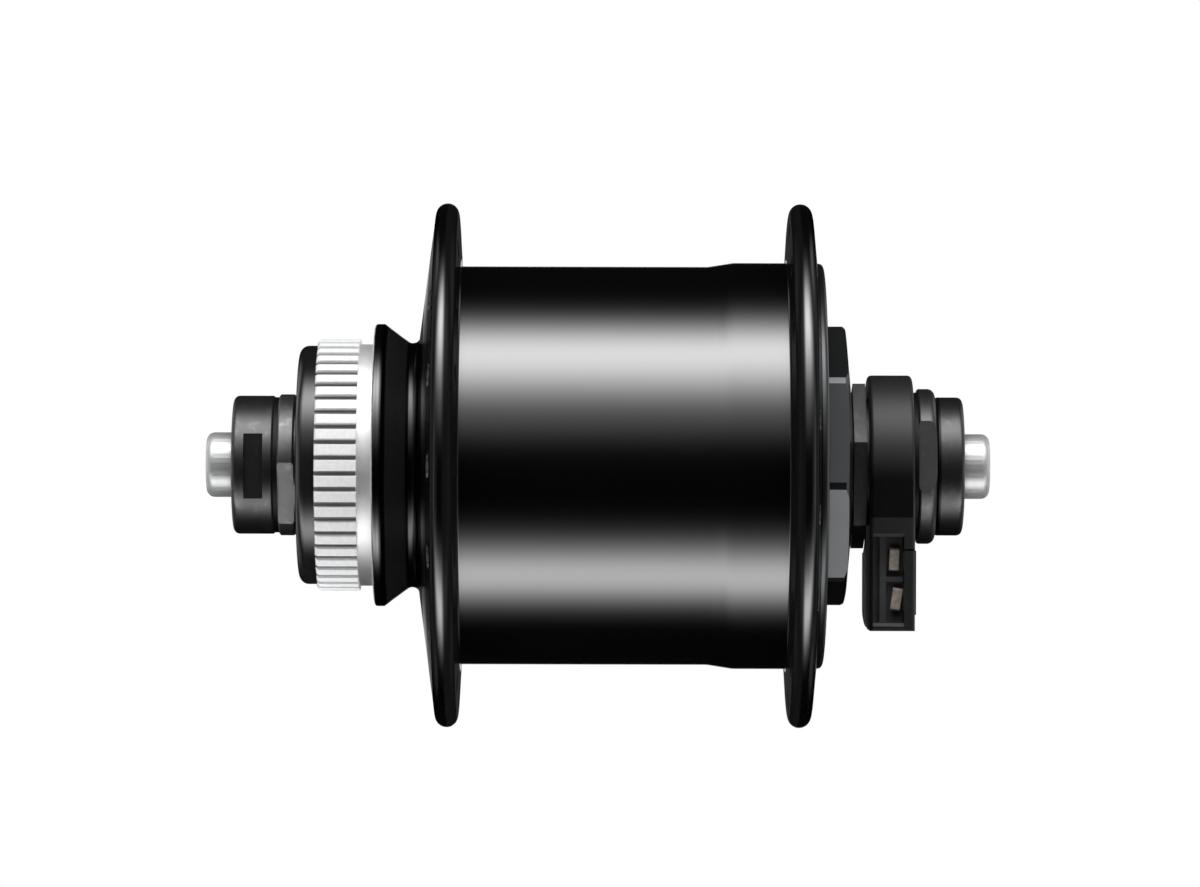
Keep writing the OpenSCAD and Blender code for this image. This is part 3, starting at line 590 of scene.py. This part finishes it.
def welded_piece(node, finish, crown):
    """A welded copy that stands for a CAD node, with even normals and a new finish."""
    mesh = welded_mesh(node, finish)
    piece = linked_object(node + "_finish", mesh)
    even = piece.modifiers.new("even_normals", "WEIGHTED_NORMAL")
    even.mode = "FACE_AREA"
    even.keep_sharp = True
    settled = settled_mesh(piece)
    true_round_normals(settled, crown)
    piece.data = settled
    bpy.data.meshes.remove(mesh)
    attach(piece, body_of(node))
    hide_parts(node)
    slot_of(node)


def dressed_node(node, finish):
    """A CAD node that stays as it is, with a new finish."""
    target = frame["nodes"][node]
    target.data.materials.clear()
    target.data.materials.append(finish)


# Wound pieces: a bar swept along a helix round the axle

def helix_tree():
    """A node tree that sweeps a bar with a number of sides along a helix round the axle."""
    tree = bpy.data.node_groups.new("bar_on_helix", "GeometryNodeTree")
    entries = {
        "Helix radius": "NodeSocketFloat",
        "Pitch": "NodeSocketFloat",
        "Turns": "NodeSocketFloat",
        "Steps per turn": "NodeSocketInt",
        "Bar radius": "NodeSocketFloat",
        "Bar sides": "NodeSocketInt",
        "Start": "NodeSocketFloat",
        "Finish": "NodeSocketMaterial",
    }
    tree.interface.new_socket("Mesh", in_out="OUTPUT", socket_type="NodeSocketGeometry")
    for name, kind in entries.items():
        tree.interface.new_socket(name, in_out="INPUT", socket_type=kind)
    base = Socket(tree)
    entry = base.node("NodeGroupInput")
    size = {name: entry.other(name) for name in entries}
    helix = base.node("GeometryNodeCurveSpiral", None, {
        "Resolution": size["Steps per turn"],
        "Rotations": size["Turns"],
        "Start Radius": size["Helix radius"],
        "End Radius": size["Helix radius"],
        "Height": size["Pitch"] * size["Turns"],
    })
    upright = base.node("GeometryNodeSetCurveNormal", {"mode": "Z_UP"}, {"Curve": helix})
    outline = base.node(
        "GeometryNodeCurvePrimitiveCircle",
        {"mode": "RADIUS"},
        {"Resolution": size["Bar sides"], "Radius": size["Bar radius"]},
    )
    bar = base.node(
        "GeometryNodeCurveToMesh", None, {"Curve": upright, "Profile Curve": outline, "Fill Caps": True}
    )
    start = base.node("ShaderNodeCombineXYZ", None, {"Y": size["Start"]})
    placed = base.node(
        "GeometryNodeTransform",
        None,
        {"Geometry": bar, "Translation": start, "Rotation": (math.radians(-90), 0, 0)},
    )
    whole = base.node("GeometryNodeRealizeInstances", None, {"Geometry": placed})
    finished = base.node(
        "GeometryNodeSetMaterial", None, {"Geometry": whole, "Material": size["Finish"]}
    )
    base.feed(tree.nodes.new("NodeGroupOutput").inputs["Mesh"], finished)
    return tree


def wound_piece(name, tree, node, sizes):
    """A bar on a helix that rides with a CAD node and has the finish that it is given."""
    piece = linked_object(name, bpy.data.meshes.new(name))
    winding = piece.modifiers.new("winding", "NODES")
    winding.node_group = tree
    for entry in tree.interface.items_tree:
        if entry.in_out == "INPUT":
            winding[entry.identifier] = sizes[entry.name]
    piece.data = settled_mesh(piece)
    piece.data.set_sharp_from_angle(angle=WOUND_CREASE)
    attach(piece, body_of(node))
    slot_of(node)


# Which finish each piece has

locknut_black = blackened_steel("blackened_locknut_steel", level=0.07, base_roughness=0.31)
# The connector side locknut, with painted shade at its inner end
shaded_locknut_black = blackened_steel(
    "shaded_locknut_steel", level=0.064, base_roughness=0.3, darkens=LOCKNUT_SHADE
)
hex_black = blackened_steel("blackened_hex_steel", level=0.067, base_roughness=0.42)
nut_black = blackened_steel("blackened_nut_steel", level=0.122, base_roughness=0.37)
round_nut_black = blackened_steel("blackened_round_nut_steel", level=0.08, base_roughness=0.33)
washer_black = blackened_steel("blackened_washer_steel", level=0.016, base_roughness=0.45)
bearing_finish = ground_bearing_steel()
iron_finish = plated_soft_iron()
rubber_finish = seal_rubber()
contact_finish = tinned_contact_metal()
axle_finish = bare_axle_steel()
cover_finish = satin_black_cover()
cage_finish = moulded_plastic("cage_nylon", dark=(0.4, 0.3, 0.14, 1), light=(0.5, 0.4, 0.2, 1))
bobbin_finish = moulded_plastic(
    "bobbin_plastic", dark=(0.55, 0.52, 0.42, 1), light=(0.68, 0.64, 0.52, 1)
)
lead_finish = moulded_plastic("lead_sleeve", dark=(0.36, 0.03, 0.02, 1), light=(0.5, 0.06, 0.04, 1))

outer_pieces = {
    "hub_shell": gloss_black_with_bare_spline(),
    "side_cover": cover_finish,
    "axle": axle_finish,
    "disc_side_cone": nut_black,
    "disc_side_washer": washer_black,
    "disc_side_locknut": locknut_black,
    "disc_side_dust_cap": cover_finish,
    "disc_side_cone_seal": rubber_finish,
    "hex_nut": hex_black,
    "connector_housing": satin_connector_plastic(),
    "upper_contact": contact_finish,
    "lower_contact": contact_finish,
    "wire_side_washer": washer_black,
    "round_nut": round_nut_black,
    "wire_side_locknut": shaded_locknut_black,
}
# Outer pieces whose flat sides shade as if a little bulged, and by what share
crowned_pieces = {"hex_nut": 0.2}
inner_nodes = {
    "cover_o_ring": rubber_finish,
    "wire_side_seal": rubber_finish,
    "iron_ring": iron_finish,
    "stator_core": iron_finish,
    "disc_side_claw_yoke": iron_finish,
    "wire_side_claw_yoke": iron_finish,
    "magnets": dull_magnet(),
    "disc_side_cup": bearing_finish,
    "disc_side_balls": bearing_finish,
    "disc_side_ball_cage": cage_finish,
    "wire_side_outer_race": bearing_finish,
    "wire_side_inner_race": bearing_finish,
    "wire_side_balls": bearing_finish,
    "wire_side_ball_cage": cage_finish,
    "wire_side_shields": nut_black,
    "coil_bobbin": bobbin_finish,
    "coil_winding": enamelled_wire(),
    "coil_leads": lead_finish,
    "disc_side_stator_nut": axle_finish,
    "wire_side_stator_nut": axle_finish,
    "bearing_spacer": axle_finish,
}
for node, finish in outer_pieces.items():
    welded_piece(node, finish, crowned_pieces.get(node, 0.0))
for node, finish in inner_nodes.items():
    dressed_node(node, finish)

# The thread in the boss's mouth and the outer turns of wire
THREAD_PITCH = 1 * MM
THREAD_HEIGHT = 0.4 * MM
helix = helix_tree()
wound_piece("lockring_thread", helix, "hub_shell", {
    "Helix radius": MOUTH_R,
    "Pitch": THREAD_PITCH,
    "Turns": (MOUTH_DEPTH - 2 * THREAD_HEIGHT) / THREAD_PITCH,
    "Steps per turn": 96,
    "Bar radius": THREAD_HEIGHT,
    "Bar sides": 4,
    "Start": BOSS_END - MOUTH_DEPTH + THREAD_HEIGHT,
    "Finish": outer_pieces["hub_shell"],
})
winding_low, winding_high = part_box("coil_winding")
wound_piece("coil_turns", helix, "coil_winding", {
    "Helix radius": winding_high[2],
    "Pitch": WIRE_D,
    "Turns": (winding_high[1] - winding_low[1] - 2 * WIRE_D) / WIRE_D,
    "Steps per turn": 64,
    "Bar radius": WIRE_D / 2,
    "Bar sides": 8,
    "Start": winding_low[1] + WIRE_D,
    "Finish": inner_nodes["coil_winding"],
})


# Light, background and camera

# Long lights: elevation of the middle and fall-off below and above it, in degrees, and strength
OVERHEAD_LIGHT = (67.3, 17, 12.8, 6.4)
FRONT_FILL = (24, 7, 7, 0.18)
LOWER_LIGHT = (-65.5, 11.6, 11.6, 4.05)
# Where the long lights fade towards the ends, as shares of a direction along the axle
UPPER_LIGHTS_FADE = (0.25, 0.95)
LOWER_LIGHT_FADES = (0.4, 1.05)
# Light in the dark parts of the room
ROOM_LIGHT = 0.004
# The part of the background that lies straight behind the hub
BEHIND_HUB = (0.985, 0.9985)
FLOOR_DROP = 0.3
FLOOR_R = 0.9
# The floor's own light: what the camera sees, and what it throws on the hub
FLOOR_SHOWN = 0.7
FLOOR_BOUNCE = 0.6


def long_light(elevation, middle, below, above, strength):
    """A soft light along the hub, brightest at one elevation."""
    return elevation.bell(math.radians(middle), math.radians(below), math.radians(above)) * strength


def studio_light(away, to_ends, up):
    """Long soft lights above and below the camera's side, and dark round them.

    Softer light comes from both ends, and from behind towards the ends."""
    elevation = up.maths("ARCTAN2", up, 0 - away)
    upper = long_light(elevation, *OVERHEAD_LIGHT) + long_light(elevation, *FRONT_FILL)
    lower = long_light(elevation, *LOWER_LIGHT)
    lights = upper * (1 - to_ends.ramp(*UPPER_LIGHTS_FADE)) + lower * (1 - to_ends.ramp(*LOWER_LIGHT_FADES))
    from_above = up.ramp(0.1, 0.45) * 0.2
    from_below = (0 - up).ramp(0.1, 0.45) * 0.08
    along_axle = to_ends.ramp(0.92, 0.97) * 0.65
    end_glow = to_ends.ramp(0.6, 0.9) * (0.09 + from_above + from_below + along_axle)
    at_rear_ends = away.ramp(0.15, 0.6) * to_ends.ramp(0.4, 0.75)
    rear_glow = at_rear_ends * (0.5 + up.ramp(-0.7, 0.4) * 0.9)
    return lights + (ROOM_LIGHT + end_glow + rear_glow)


def white_studio():
    """White for the camera, studio light for the hub, and the white ground behind it in reflections."""
    world = bpy.data.worlds.new("white_studio")
    world.use_nodes = True
    bpy.context.scene.world = world
    background = world.node_tree.nodes["Background"]
    sky = Socket(world.node_tree)
    direction = sky.node("ShaderNodeTexCoord", output="Generated")
    away = sky.node("ShaderNodeSeparateXYZ", None, {"Vector": direction}, output="X")
    to_ends = sky.maths("ABSOLUTE", away.other("Y"))
    seen = sky.node("ShaderNodeLightPath", output="Is Camera Ray")
    mirrored = sky.maths("MAXIMUM", seen.other("Is Glossy Ray"), seen.other("Is Transmission Ray"))
    studio = studio_light(away, to_ends, away.other("Z")) + mirrored * away.ramp(*BEHIND_HUB)
    sky.feed(background.inputs["Strength"], seen + (1 - seen) * studio)
    sky.feed(background.inputs["Color"], grey(1.0))


def floor_finish():
    """Pale and matt, lit from within for the camera and, more softly, for the hub's matt surfaces."""
    material = bpy.data.materials.new("pale_floor")
    material.use_nodes = True
    material.cycles.emission_sampling = "NONE"
    tree = material.node_tree
    tree.nodes.remove(tree.nodes["Principled BSDF"])
    base = Socket(tree)
    matt = base.node("ShaderNodeBsdfDiffuse", None, {"Color": grey(0.8)})
    seen = base.node("ShaderNodeLightPath", output="Is Camera Ray")
    strength = seen * FLOOR_SHOWN + seen.other("Is Diffuse Ray") * FLOOR_BOUNCE
    glow = base.node("ShaderNodeEmission", None, {"Color": grey(1.0), "Strength": strength})
    both = base.node("ShaderNodeAddShader", None, {0: matt, 1: glow})
    base.feed(tree.nodes["Material Output"].inputs["Surface"], both)
    return material


def pale_floor():
    """A round floor well below the hub, with the hub's shadow on it; reflections leave it out."""
    mesh = bpy.data.meshes.new("pale_floor")
    work = bmesh.new()
    bmesh.ops.create_circle(work, cap_ends=True, segments=96, radius=FLOOR_R)
    work.to_mesh(mesh)
    work.free()
    mesh.materials.append(floor_finish())
    floor = linked_object("pale_floor", mesh)
    floor.location.z = -FLOOR_DROP
    floor.visible_glossy = False


def photo_camera():
    """A camera square to the axle that frames the hub as the photograph does."""
    lens = bpy.data.cameras.new("photo_camera")
    lens.sensor_width = SENSOR_W
    lens.lens = SENSOR_W * CAMERA_DISTANCE / (IMAGE_W / PIXELS_PER_METRE)
    camera = linked_object("photo_camera", lens)
    side = (HUB_MIDDLE_PIXEL[0] - IMAGE_W / 2) / PIXELS_PER_METRE
    height = (HUB_MIDDLE_PIXEL[1] - IMAGE_H / 2) / PIXELS_PER_METRE
    camera.location = (-CAMERA_DISTANCE, side, height)
    camera.rotation_euler = (math.radians(90), CAMERA_ROLL, math.radians(-90))
    bpy.context.scene.camera = camera


white_studio()
pale_floor()
photo_camera()
bpy.context.scene.view_settings.view_transform = "Standard"
